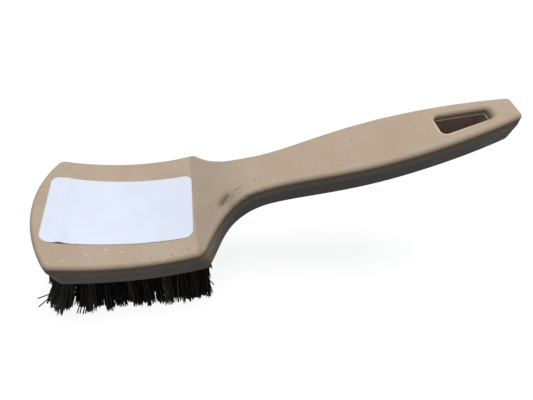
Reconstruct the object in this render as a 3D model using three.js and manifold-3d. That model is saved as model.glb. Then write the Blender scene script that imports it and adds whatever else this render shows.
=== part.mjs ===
// Tire brush. One moulded block makes the dished head, the swan neck and the handle with its hanging hole.
// Tufts of stiff fibre sit in blind holes under the head, each held by a flat wire anchor, trimmed flat.
// A paper label lies on the dish. Millimetres, +Z up, +X from the nose to the handle's end.

import * as THREE from "three";
import { mergeVertices } from "three/addons/utils/BufferGeometryUtils.js";
import Module from "manifold-3d";

const wasm = await Module();
wasm.setup();

// Head. Lengths along X are measured from the middle of the dish.
const HEAD_WIDTH = 64.6;
const HEAD_THICKNESS = 14.3;
const HEAD_FRONT = 43.6; // to the tip of the nose
const HEAD_BACK = 33.6; // to the crease across the top
const DISH_RADIUS = 117;
const NOSE_RADIUS = 63; // plan radius of the front end
const NOSE_CORNER = 3.8;
const SHOULDER_SET = 0.8; // the shoulder starts this far behind the crease
const SHOULDER_ANGLE = 56.7; // degrees between the shoulder wall and the handle's line, in plan
const SHOULDER_CORNER = 5;
const SHOULDER_RUN = 4.8; // straight stretch of shoulder, measured from its corner
const EDGE_RADIUS = 3.2; // round along the whole top edge
const HEAD_LEAN = 13; // degrees that the head's walls lean towards the handle on their way down

// Neck and handle, in side view
const RAMP_ANGLE = 42.6; // degrees above level, behind the crease
const RAMP_RUN = 16.8; // crease to the knee, along X
const HANDLE_ANGLE = 17.8; // degrees above level
const KNEE_BLEND = 10.5; // length of each tangent of the knee's curve
const NECK_THICKNESS = 13.6; // straight down, at the narrowest place
const END_THICKNESS = 15.2; // straight down, at the end face
const TAIL_LEAN = 2; // degrees, the same at the end face; the walls stand plumb at the knee

// Neck and handle, in plan
const NECK_RUN = 36; // crease to the narrowest place
const NECK_WIDTH = 22.7;
const NECK_PULLS = [14.8, 17.7]; // lengths of the curve handles, shoulder side and neck side
const GRIP_RUN = 51; // narrowest to widest place
const GRIP_WIDTH = 29.5;
const GRIP_PULLS = [13.4, 21.7];
const TAIL_RUN = 65.6; // widest place to the end face
const TAIL_WIDTH = 13.3;
const TAIL_ANGLE = 14.5; // degrees that the sides draw in at the end
const TAIL_PULLS = [21.5, 19.6];
const TAIL_CORNER = 4.2;

// Hanging hole: a tapered slot through the handle
const HOLE_LENGTH = 23.4;
const HOLE_WIDE = 12.4; // head side
const HOLE_NARROW = 6.2; // end side
const HOLE_CORNER = 2;
const HOLE_BRIDGE = 14.3; // solid left between the slot and the end face
const HOLE_OVERRUN = 1; // of its cutter, past the handle's faces

// Tufts and their anchors
const TRIM = 25.4; // bristle length below the middle of the head
const TUFTS_PER_ROW = 8;
const ROW_PITCH = 10.4;
const BACKING = 1.6; // slice of the underside that each strip of tufts is rooted in
const BACKING_RIM = 1.2; // wall between a strip's ends and the outside of the head
const TUFT_MARGIN = 3; // strip's edge to the nearest tuft's middle
const TUFT_HOLE = 5.2;
const TUFT_DEPTH = 10.6; // from the underside
const TUFT_SIDES = 6;
const ANCHOR_LENGTH = 6.6;
const ANCHOR_HEIGHT = 1.9;
const ANCHOR_WIRE = 0.6; // thickness of the flat wire
const FIT_GAP = 0.25;

// Strands
const STRANDS_PER_TUFT = 9;
const STRAND_RADIUS = 0.78;
const STRAND_SIDES = 3;
const ROOT_SPREAD = 2.9; // radius of a tuft where it leaves the head
const TUFT_FLARE = 1.3; // growth of that radius down to the tips
const SIDE_SPLAY = 0.16; // share of its distance from the middle that a row leans out
const BACK_DRAW = 0.13; // share of its distance behind the middle that a tuft is drawn in
const STRAND_JITTER = 0.22;
const SHORT_EVERY = 5; // one strand in so many stops short of the trim
const SHORT_BY = 1.6;

// Label
const LABEL_LENGTH = 69.8;
const LABEL_WIDTH = 38.6;
const LABEL_CORNER = 4;
const LABEL_THICKNESS = 0.2;
const LABEL_GAP = 0.1;
const LABEL_SETBACK = 1.8; // from the crease to the label's back edge
const LABEL_SIDE = -0.5; // along Y, from the middle of the head
const LABEL_TURN = -2.4; // degrees, as it was stuck on

const CURVE_STEPS = 10;
const DEGREE = Math.PI / 180;
const GOLDEN_ANGLE = Math.PI * (3 - Math.sqrt(5));

const headHalf = HEAD_WIDTH / 2;
const undersideRadius = DISH_RADIUS + HEAD_THICKNESS;
const dishAxis = new THREE.Vector2(0, TRIM + undersideRadius); // x and z; the tufts point away from it too
const neckX = HEAD_BACK + NECK_RUN;
const gripX = neckX + GRIP_RUN;
const endX = gripX + TAIL_RUN;
const edgeRadius = Math.min(EDGE_RADIUS, 0.9 * Math.min(NOSE_CORNER, SHOULDER_CORNER, TAIL_CORNER));
const noseCentre = NOSE_RADIUS - HEAD_FRONT;
const kneeX = HEAD_BACK + RAMP_RUN;
// How far back the head's walls end up at their foot
const wallShift = Math.tan(HEAD_LEAN * DEGREE) * (HEAD_THICKNESS - edgeRadius);

// Small tools for plane curves

function heading(degrees) {
  return new THREE.Vector2(Math.cos(degrees * DEGREE), Math.sin(degrees * DEGREE));
}

function along(point, direction, distance) {
  return point.clone().addScaledVector(direction, distance);
}

// Where the line through p along d meets the line through q along e.
function meet(p, d, q, e) {
  const reach = q.clone().sub(p).cross(e) / d.cross(e);
  return along(p, d, reach);
}

// Points of an arc of the given radius that rounds the corner at vertex.
function roundedCorner(vertex, arriving, leaving, radius, steps = CURVE_STEPS) {
  const turn = Math.atan2(arriving.cross(leaving), arriving.dot(leaving));
  const start = along(vertex, arriving, -radius * Math.tan(Math.abs(turn) / 2));
  const side = new THREE.Vector2(-arriving.y, arriving.x).multiplyScalar(Math.sign(turn));
  const centre = along(start, side, radius);
  const from = start.clone().sub(centre).angle();
  return new THREE.ArcCurve(centre.x, centre.y, radius, from, from + turn, turn < 0).getPoints(steps);
}

function roundedPolygon(vertices, radius) {
  const count = vertices.length;
  return vertices.flatMap((vertex, i) => {
    const arriving = vertex.clone().sub(vertices[(i + count - 1) % count]).normalize();
    const leaving = vertices[(i + 1) % count].clone().sub(vertex).normalize();
    return roundedCorner(vertex, arriving, leaving, radius, CURVE_STEPS / 2);
  });
}

// Points of a curve that leaves one place and reaches another along given directions.
function sweep(start, leaving, end, arriving, pulls, steps) {
  const control = [along(start, leaving, pulls[0]), along(end, arriving, -pulls[1])];
  return new THREE.CubicBezierCurve(start, ...control, end).getPoints(steps);
}

// Height of a side-view line, which runs from left to right, at a given x.
function heightOf(points) {
  return (x) => {
    const found = points.findIndex((p) => p.x >= x);
    const i = found < 0 ? points.length - 1 : Math.max(found, 1);
    const [a, b] = [points[i - 1], points[i]];
    return a.y + ((x - a.x) / (b.x - a.x)) * (b.y - a.y);
  };
}

// Solids for joining and cutting

function toSolid(geometry) {
  const bare = geometry.clone();
  bare.deleteAttribute("normal");
  bare.deleteAttribute("uv");
  const merged = mergeVertices(bare, 1e-4);
  const vertProperties = merged.attributes.position.array;
  const triVerts = new Uint32Array(merged.index.array);
  return new wasm.Manifold(new wasm.Mesh({ numProp: 3, vertProperties, triVerts }));
}

function toGeometry(solid) {
  const { vertProperties, triVerts } = solid.getMesh();
  const geometry = new THREE.BufferGeometry();
  geometry.setAttribute("position", new THREE.BufferAttribute(vertProperties, 3));
  geometry.setIndex(new THREE.BufferAttribute(triVerts, 1));
  geometry.computeVertexNormals();
  return geometry;
}

function joined(solids) {
  return solids.reduce((whole, solid) => whole.add(solid));
}

function indexedGeometry(points, triangles) {
  const geometry = new THREE.BufferGeometry().setFromPoints(points);
  geometry.setIndex(triangles.flat());
  return geometry;
}

// Closed body through rings of points that lie over each other, bottom ring first. Each ring runs along the
// far side and back along the near side, so its points pair up across the middle, and so do the caps' strips.
function loft(rings) {
  const count = rings[0].length;
  const triangles = [];
  for (let k = 0; k + 1 < rings.length; k++) {
    for (let i = 0; i < count; i++) {
      const a = k * count + i;
      const b = k * count + ((i + 1) % count);
      triangles.push([a, a + count, b], [b, a + count, b + count]);
    }
  }
  const top = (rings.length - 1) * count;
  for (let far = 0; far + 1 < count / 2; far++) {
    const near = count - 1 - far;
    triangles.push([top + far, top + near, top + near - 1], [top + far, top + near - 1, top + far + 1]);
    triangles.push([far, near - 1, near], [far, far + 1, near - 1]);
  }
  return indexedGeometry(rings.flat(), triangles);
}

// Upright prism of a plan outline.
function uprightPrism(outline, bottom, top) {
  const shape = new THREE.Shape(outline);
  const prism = new THREE.ExtrudeGeometry(shape, { depth: top - bottom, bevelEnabled: false });
  return prism.translate(0, 0, bottom);
}

// Curved plate about the dish's axis, between two radii, two angles from straight down and two places along Y.
function curvedPlate(inner, outer, fromAngle, toAngle, nearY, farY, steps = 4) {
  const down = -Math.PI / 2;
  const shape = new THREE.Shape();
  shape.absarc(dishAxis.x, dishAxis.y, outer, down + fromAngle, down + toAngle, false);
  shape.absarc(dishAxis.x, dishAxis.y, inner, down + toAngle, down + fromAngle, true);
  const options = { depth: farY - nearY, bevelEnabled: false, curveSegments: steps };
  return new THREE.ExtrudeGeometry(shape, options).rotateX(Math.PI / 2).translate(0, farY, 0);
}

// Block

// Angle from straight down at which the underside reaches a given x.
function undersideAngle(x) {
  return Math.asin(x / undersideRadius);
}

function dishArc(radius, fromX, toX) {
  const [from, to] = [fromX, toX].map((x) => Math.asin(x / radius) - Math.PI / 2);
  return new THREE.ArcCurve(dishAxis.x, dishAxis.y, radius, from, to, false).getPoints(6 * CURVE_STEPS);
}

function knee(vertex, arriving, leaving) {
  const start = along(vertex, arriving, -KNEE_BLEND);
  const end = along(vertex, leaving, KNEE_BLEND);
  return new THREE.QuadraticBezierCurve(start, vertex, end).getPoints(2 * CURVE_STEPS);
}

const ramp = heading(RAMP_ANGLE);
const grip = heading(HANDLE_ANGLE);
const dishRise = (x) => dishAxis.y - Math.sqrt(DISH_RADIUS ** 2 - x ** 2);
const crease = new THREE.Vector2(HEAD_BACK, dishRise(HEAD_BACK));
const kneeTop = along(crease, ramp, RAMP_RUN / ramp.x);
const topLine = [
  ...dishArc(DISH_RADIUS, -HEAD_FRONT, HEAD_BACK),
  ...knee(kneeTop, ramp, grip),
  along(kneeTop, grip, (endX - kneeTop.x) / grip.x),
];
const topAt = heightOf(topLine);

// The underside keeps the head's thickness under dish and ramp, then runs straight to the end face.
function undersideLine() {
  const neck = new THREE.Vector2(neckX, topAt(neckX) - NECK_THICKNESS);
  const end = new THREE.Vector2(endX, topAt(endX) - END_THICKNESS);
  const run = end.clone().sub(neck).normalize();
  const underRamp = along(crease, new THREE.Vector2(ramp.y, -ramp.x), HEAD_THICKNESS);
  const offset = underRamp.clone().sub(dishAxis);
  const half = offset.dot(ramp);
  const reach = -half - Math.sqrt(half ** 2 - offset.lengthSq() + undersideRadius ** 2);
  const heel = along(underRamp, ramp, reach);
  const kneeUnder = meet(underRamp, ramp, neck, run);
  return [...dishArc(undersideRadius, -HEAD_FRONT, heel.x), ...knee(kneeUnder, ramp, run), end];
}
const bottomAt = heightOf(undersideLine());

// Far half of the plan outline, from beside the nose's tip to beside the middle of the end face.
function halfOutline() {
  const cornerY = headHalf - NOSE_CORNER;
  const cornerX = noseCentre - Math.sqrt((NOSE_RADIUS - NOSE_CORNER) ** 2 - cornerY ** 2);
  const cornerAngle = Math.atan2(cornerY, cornerX - noseCentre);
  const nose = new THREE.ArcCurve(noseCentre, 0, NOSE_RADIUS, Math.PI, cornerAngle, true);
  const corner = new THREE.ArcCurve(cornerX, cornerY, NOSE_CORNER, cornerAngle, Math.PI / 2, true);

  const level = heading(0);
  const slant = heading(-SHOULDER_ANGLE);
  const shoulder = new THREE.Vector2(HEAD_BACK + SHOULDER_SET, headHalf);
  const shoulderArc = roundedCorner(shoulder, level, slant, SHOULDER_CORNER, 6);
  const side = new THREE.LineCurve(new THREE.Vector2(cornerX, headHalf), shoulderArc[0]);

  const neckStart = along(shoulder, slant, SHOULDER_RUN);
  const neck = new THREE.Vector2(neckX, NECK_WIDTH / 2);
  const widest = new THREE.Vector2(gripX, GRIP_WIDTH / 2);
  const tailSlant = heading(-TAIL_ANGLE);
  const tailCorner = new THREE.Vector2(endX, TAIL_WIDTH / 2);
  const tail = roundedCorner(tailCorner, tailSlant, heading(-90), TAIL_CORNER, 6);

  return [
    ...nose.getPoints(8).slice(1, -1),
    ...corner.getPoints(5).slice(0, -1),
    ...side.getPoints(14).slice(0, -1),
    ...shoulderArc,
    ...sweep(neckStart, slant, neck, level, NECK_PULLS, 18),
    ...sweep(neck, level, widest, level, GRIP_PULLS, 8).slice(1),
    ...sweep(widest, level, tail[0], tailSlant, TAIL_PULLS, 10).slice(1, -1),
    ...tail,
  ];
}

// The whole outline as points with their inward normals, far side first.
function fullOutline() {
  const far = halfOutline();
  const near = far.map((p) => new THREE.Vector2(p.x, -p.y)).reverse();
  const points = [...far, ...near];
  const count = points.length;
  return points.map((point, i) => {
    const before = point.clone().sub(points[(i + count - 1) % count]).normalize();
    const after = points[(i + 1) % count].clone().sub(point).normalize();
    const run = before.add(after).normalize();
    return { point, inward: new THREE.Vector2(run.y, -run.x) };
  });
}

// Step along X, for each step down, of the wall that leaves the top edge at a given x.
function wallLean(x) {
  const headShare = THREE.MathUtils.clamp((kneeX - x) / (kneeX - HEAD_BACK), 0, 1);
  const tailShare = THREE.MathUtils.clamp((x - kneeX) / (endX - kneeX), 0, 1);
  return Math.tan((headShare * HEAD_LEAN + tailShare * TAIL_LEAN) * DEGREE);
}

// Where the wall that starts at a point under the top edge meets the underside.
function footOf(start) {
  let x = start.x;
  for (let i = 0; i < CURVE_STEPS; i++) {
    x = start.x + wallLean(start.x) * (start.z - bottomAt(x));
  }
  return new THREE.Vector3(x, start.y, bottomAt(x));
}

function blockBody() {
  const outline = fullOutline();
  const edgeRings = [0, 30, 60, 90].map((angle) => {
    const lean = heading(angle);
    return outline.map(({ point, inward }) => {
      const placed = along(point, inward, edgeRadius * (1 - lean.x));
      const flat = along(point, inward, edgeRadius);
      return new THREE.Vector3(placed.x, placed.y, topAt(flat.x) - edgeRadius * (1 - lean.y));
    });
  });
  return toSolid(loft([edgeRings[0].map(footOf), ...edgeRings]));
}

function hangingHole() {
  const right = endX - HOLE_BRIDGE;
  const left = right - HOLE_LENGTH;
  const corners = [
    new THREE.Vector2(left, -HOLE_WIDE / 2),
    new THREE.Vector2(right, -HOLE_NARROW / 2),
    new THREE.Vector2(right, HOLE_NARROW / 2),
    new THREE.Vector2(left, HOLE_WIDE / 2),
  ];
  const [bottom, top] = [bottomAt(left) - HOLE_OVERRUN, topAt(right) + HOLE_OVERRUN];
  return toSolid(uprightPrism(roundedPolygon(corners, HOLE_CORNER), bottom, top));
}

// Strips of tufts: each strip is one slice of backing with one or two rows

function strip(name, rows) {
  const edges = rows.flatMap((row) => [row - 0.5, row + 0.5]);
  const nearY = Math.min(...edges) * ROW_PITCH + FIT_GAP / 2;
  const farY = Math.max(...edges) * ROW_PITCH - FIT_GAP / 2;
  const widest = Math.min(Math.max(-nearY, farY), headHalf - BACKING_RIM);
  const noseX = noseCentre - Math.sqrt(NOSE_RADIUS ** 2 - widest ** 2);
  const frontX = noseX + wallShift + BACKING_RIM;
  const backX = HEAD_BACK + wallShift - BACKING_RIM;
  const first = undersideAngle(frontX + TUFT_MARGIN);
  const last = undersideAngle(backX - TUFT_MARGIN);
  const step = (last - first) / (TUFTS_PER_ROW - 1);
  const columns = Array.from({ length: TUFTS_PER_ROW }, (_, column) => column);
  const tufts = rows.flatMap((row) =>
    columns.map((column) => ({ angle: first + column * step, y: row * ROW_PITCH, row, column })),
  );
  return {
    name,
    tufts,
    frontX,
    backX,
    nearY: Math.max(nearY, -widest),
    farY: Math.min(farY, widest),
  };
}

const strips = [
  strip("front_outer_bristles", [-2.5]),
  strip("front_inner_bristles", [-1.5, -0.5]),
  strip("rear_inner_bristles", [0.5, 1.5]),
  strip("rear_outer_bristles", [2.5]),
];
const tufts = strips.flatMap((s) => s.tufts);

function backingPlate({ frontX, backX, nearY, farY }, gap, below) {
  const turn = gap / undersideRadius;
  return toSolid(
    curvedPlate(
      undersideRadius - BACKING - gap,
      undersideRadius + below,
      undersideAngle(frontX) - turn,
      undersideAngle(backX) + turn,
      nearY - gap,
      farY + gap,
    ),
  );
}

// Place of a tuft: its own frame has the dish's axis at the origin and points down its hole along -Z.
function tuftFrame({ angle, y }) {
  const turned = new THREE.Matrix4().makeRotationY(-angle);
  return new THREE.Matrix4().makeTranslation(dishAxis.x, y, dishAxis.y).multiply(turned);
}

function tuftPost(tuft, radius, from, to) {
  const post = new THREE.CylinderGeometry(radius, radius, to - from, TUFT_SIDES).rotateX(Math.PI / 2);
  post.translate(0, 0, -(from + to) / 2);
  return toSolid(post.applyMatrix4(tuftFrame(tuft)));
}

const holeEnd = undersideRadius - TUFT_DEPTH;
const anchorMiddle = holeEnd + FIT_GAP + ANCHOR_HEIGHT / 2;

function anchorBox(tuft, gap) {
  const box = new THREE.BoxGeometry(ANCHOR_WIRE + 2 * gap, ANCHOR_LENGTH + 2 * gap, ANCHOR_HEIGHT + 2 * gap);
  return box.translate(0, 0, -anchorMiddle).applyMatrix4(tuftFrame(tuft));
}

function tuftHole(tuft) {
  const bore = tuftPost(tuft, TUFT_HOLE / 2, holeEnd, undersideRadius);
  return bore.add(toSolid(anchorBox(tuft, FIT_GAP)));
}

function tuftRoot(tuft) {
  const start = anchorMiddle + ANCHOR_HEIGHT / 2 + FIT_GAP;
  return tuftPost(tuft, TUFT_HOLE / 2 - FIT_GAP, start, undersideRadius - BACKING / 2);
}

// A repeatable scatter between -1 and 1.
function scatter(n) {
  const wave = Math.sin(n * 127.1) * 43758.5453;
  return 2 * (wave - Math.floor(wave)) - 1;
}

// One straight strand of a tuft as a slanted prism, cut level at its tip.
function strand(tuft, index) {
  const mark = STRANDS_PER_TUFT * (TUFTS_PER_ROW * Math.abs(2 * tuft.row) + tuft.column) + index;
  const ring = ROOT_SPREAD * Math.sqrt((index + 0.5) / STRANDS_PER_TUFT);
  const turn = GOLDEN_ANGLE * index + Math.PI * scatter(mark - index);
  const side = Math.sign(tuft.row);
  const dx = ring * Math.cos(turn);
  const dy = side * ring * Math.sin(turn);
  const frame = tuftFrame(tuft);
  const rootRadius = undersideRadius - BACKING / 2;
  const root = new THREE.Vector3(dx, dy, -rootRadius).applyMatrix4(frame);
  const tip = new THREE.Vector3(
    TUFT_FLARE * dx - BACK_DRAW * Math.max(root.x, 0) + STRAND_JITTER * scatter(mark + 0.3),
    TUFT_FLARE * dy + SIDE_SPLAY * tuft.y + side * STRAND_JITTER * scatter(mark + 0.6),
    -rootRadius - TRIM,
  ).applyMatrix4(frame);
  const short = mark % SHORT_EVERY === 0;
  const level = short ? SHORT_BY : 0;
  const end = root.clone().lerp(tip, (root.z - level) / (root.z - tip.z));
  const corners = Array.from({ length: STRAND_SIDES }, (_, i) => {
    const spin = (2 * Math.PI * i) / STRAND_SIDES + mark;
    return new THREE.Vector3(STRAND_RADIUS * Math.cos(spin), STRAND_RADIUS * Math.sin(spin), 0);
  });
  const points = [end, root].flatMap((middle) => corners.map((corner) => corner.clone().add(middle)));
  const triangles = [];
  for (let i = 0; i < STRAND_SIDES; i++) {
    const next = (i + 1) % STRAND_SIDES;
    triangles.push([i, next, STRAND_SIDES + next], [i, STRAND_SIDES + next, STRAND_SIDES + i]);
  }
  for (let i = 1; i + 1 < STRAND_SIDES; i++) {
    triangles.push([0, i + 1, i], [STRAND_SIDES, STRAND_SIDES + i, STRAND_SIDES + i + 1]);
  }
  return toSolid(indexedGeometry(points, triangles));
}

function bristleStrip(s) {
  const roots = s.tufts.map(tuftRoot);
  const strands = s.tufts.flatMap((tuft) =>
    Array.from({ length: STRANDS_PER_TUFT }, (_, index) => strand(tuft, index)),
  );
  return toGeometry(joined([backingPlate(s, 0, 0), ...roots, ...strands]));
}

function handleBlock() {
  const pockets = strips.map((s) => backingPlate(s, FIT_GAP, HEAD_THICKNESS));
  const cuts = joined([hangingHole(), ...pockets, ...tufts.map(tuftHole)]);
  return toGeometry(blockBody().subtract(cuts));
}

function paperLabel() {
  const corners = [
    [-1, -1],
    [1, -1],
    [1, 1],
    [-1, 1],
  ].map(([x, y]) => new THREE.Vector2((x * LABEL_LENGTH) / 2, (y * LABEL_WIDTH) / 2));
  const outline = uprightPrism(roundedPolygon(corners, LABEL_CORNER), 0, dishAxis.y);
  const middle = HEAD_BACK - LABEL_SETBACK - LABEL_LENGTH / 2;
  outline.rotateZ(LABEL_TURN * DEGREE).translate(middle, LABEL_SIDE, 0);
  const reach = Math.asin(LABEL_LENGTH / DISH_RADIUS);
  const back = DISH_RADIUS - LABEL_GAP;
  const front = back - LABEL_THICKNESS;
  const sheet = curvedPlate(front, back, -reach, reach, -LABEL_WIDTH, LABEL_WIDTH, CURVE_STEPS);
  return toGeometry(toSolid(sheet).intersect(toSolid(outline)));
}

// Finishes and assembly

const beigePlastic = new THREE.MeshStandardMaterial({ color: 0xbfab95, roughness: 0.62, metalness: 0 });
const darkFibre = new THREE.MeshStandardMaterial({ color: 0x4a4034, roughness: 0.7, metalness: 0 });
const whitePaper = new THREE.MeshStandardMaterial({ color: 0xe6e8ee, roughness: 0.5, metalness: 0 });
const anchorWire = new THREE.MeshStandardMaterial({ color: 0x9a9a98, roughness: 0.4, metalness: 1 });

const brush = new THREE.Group();

function place(name, geometry, material) {
  const mesh = new THREE.Mesh(geometry, material);
  mesh.name = name;
  brush.add(mesh);
}

place("handle_block", handleBlock(), beigePlastic);
place("paper_label", paperLabel(), whitePaper);
strips.forEach((s) => place(s.name, bristleStrip(s), darkFibre));
tufts.forEach((tuft, i) => {
  const number = String(i + 1).padStart(2, "0");
  place(`tuft_anchor_${number}`, anchorBox(tuft, 0), anchorWire);
});

// The origin is under the middle of the whole brush, level with the trimmed tips.
const extent = new THREE.Box3().setFromObject(brush);
brush.position.x = -(extent.min.x + extent.max.x) / 2;
const part = new THREE.Group();
part.add(brush);

export default part;
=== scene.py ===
"""Looks of a hand tire brush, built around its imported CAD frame.

The brush is one moulded beige block (dished head, swan neck and a handle with a hanging slot), a bare
paper label on the dish, and tufts of stiff dark fibre under the head. Sizes are millimetres from the middle
of the dish, +Z up from the trimmed tips. A finished mesh is moved to the CAD frame and scaled to metres.
"""

import bisect
import logging
import math
import random
from dataclasses import dataclass, field
from enum import Enum
from functools import cached_property
from itertools import pairwise

import bmesh
import bpy
from bmesh.types import BMesh, BMFace, BMLayerItem, BMVert
from bpy.types import Material, Mesh, NodeSocket, Object, World
from mathutils import Matrix, Vector, noise
from mathutils.geometry import interpolate_bezier


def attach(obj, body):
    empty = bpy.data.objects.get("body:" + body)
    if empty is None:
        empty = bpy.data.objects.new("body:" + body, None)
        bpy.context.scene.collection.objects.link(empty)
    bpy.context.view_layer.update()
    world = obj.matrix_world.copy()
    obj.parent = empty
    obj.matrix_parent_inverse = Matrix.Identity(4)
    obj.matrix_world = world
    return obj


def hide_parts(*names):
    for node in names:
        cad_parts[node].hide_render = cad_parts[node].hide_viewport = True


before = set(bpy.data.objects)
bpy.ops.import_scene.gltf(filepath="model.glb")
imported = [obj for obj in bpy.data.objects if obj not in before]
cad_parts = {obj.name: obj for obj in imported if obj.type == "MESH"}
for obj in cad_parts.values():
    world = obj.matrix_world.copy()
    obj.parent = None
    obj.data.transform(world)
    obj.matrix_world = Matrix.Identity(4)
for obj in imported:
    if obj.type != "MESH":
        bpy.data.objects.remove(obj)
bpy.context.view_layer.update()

LOG = logging.getLogger("tire_brush")
MM = 0.001
BODY = "root"
PHOTO_WIDTH = 533  # pixels
FULL_TURN = 6.3  # radians, a little over
DISH_X = -70.8424  # middle of the dish in the CAD frame

Colour = tuple[float, float, float]
Triple = tuple[float, float, float]  # a place, a size or a turn


class Slot(Enum):
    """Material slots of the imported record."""

    BLOCK = "beige_plastic"
    LABEL = "label_paper"
    FIBRE = "bristle_fibre"


class Mark(Enum):
    """Numbers that a mesh carries at its vertices, for its finish to read."""

    # Painted highlight: the pale line along the parting ridge and the slot's near rim.
    PARTING = "parting"
    # Painted shade: how far a rounded edge or the slot's wall is browned for how it turns from the light.
    EDGE_SHADE = "toned"
    # Each fibre's brown share: its own tone, times painted shade at its tuft's sides, plus painted light in
    # the end column.
    SHADE = "shade"


class Level(Enum):
    """Rings of the block's walls, with how far down the wall each one lies."""

    FOOT = 1.0
    UNDER_PARTING = 0.41
    PARTING = 0.38
    OVER_PARTING = 0.355
    TOP = 0.0


LEVELS = tuple(Level)
ON_PARTING, BESIDE_PARTING = 1.0, 0.1  # marks of the rings at the parting line


def heading(degrees: float) -> Vector:
    """Unit vector in a plane, turned from the first axis."""
    return Vector((math.cos(math.radians(degrees)), math.sin(math.radians(degrees))))


def height_on(line: list[Vector], x: float) -> float:
    """Height of a side-view line at a place along the brush.

    Args:
        line: Points from left to right, as (x, z).
        x: Place along the brush.

    Returns:
        The height, carried on straight past both ends of the line.
    """
    found = bisect.bisect_left(line, x, key=lambda point: point.x)
    index = min(max(found, 1), len(line) - 1)
    before, after = line[index - 1], line[index]
    return before.y + (x - before.x) / (after.x - before.x) * (after.y - before.y)


def curve_points(start: Vector, leaving: Vector, end: Vector, arriving: Vector, count: int) -> list[Vector]:
    """Plane points of a curve, both ends included, from its two ends and its pull at each."""
    return [p.to_2d() for p in interpolate_bezier(start, start + leaving, end - arriving, end, count)]


def round_corners(bm: BMesh, verts: list[BMVert], reach: float, segments: int) -> None:
    """Rounds corners of a flat face, each from a reach before it to the same reach after it."""
    shape = {"offset_type": "OFFSET", "profile": 0.5, "affect": "VERTICES", "material": -1}
    bmesh.ops.bevel(bm, geom=verts, offset=reach, segments=segments, **shape)


def rounded_outline(corners: list[tuple[Vector, float]], segments: int) -> list[Vector]:
    """Points of a closed outline with its corners rounded.

    Args:
        corners: Plane points in order, each with the radius that rounds it.
        segments: Chords across a rounded corner.

    Returns:
        The points in order.
    """
    bm = bmesh.new()
    verts = [bm.verts.new((*point, 0)) for point, _ in corners]
    bm.faces.new(verts)
    reaches = []
    for i, (vert, (_, radius)) in enumerate(zip(verts, corners)):
        before = (vert.co - verts[i - 1].co).to_2d()
        after = (verts[(i + 1) % len(verts)].co - vert.co).to_2d()
        reaches.append(radius * math.tan(abs(before.angle_signed(after)) / 2))
    for vert, reach in zip(verts, reaches):
        if reach:
            round_corners(bm, [vert], reach, segments)
    bm.faces.ensure_lookup_table()
    points = [vert.co.to_2d() for vert in bm.faces[0].verts]
    bm.free()
    return points


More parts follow.
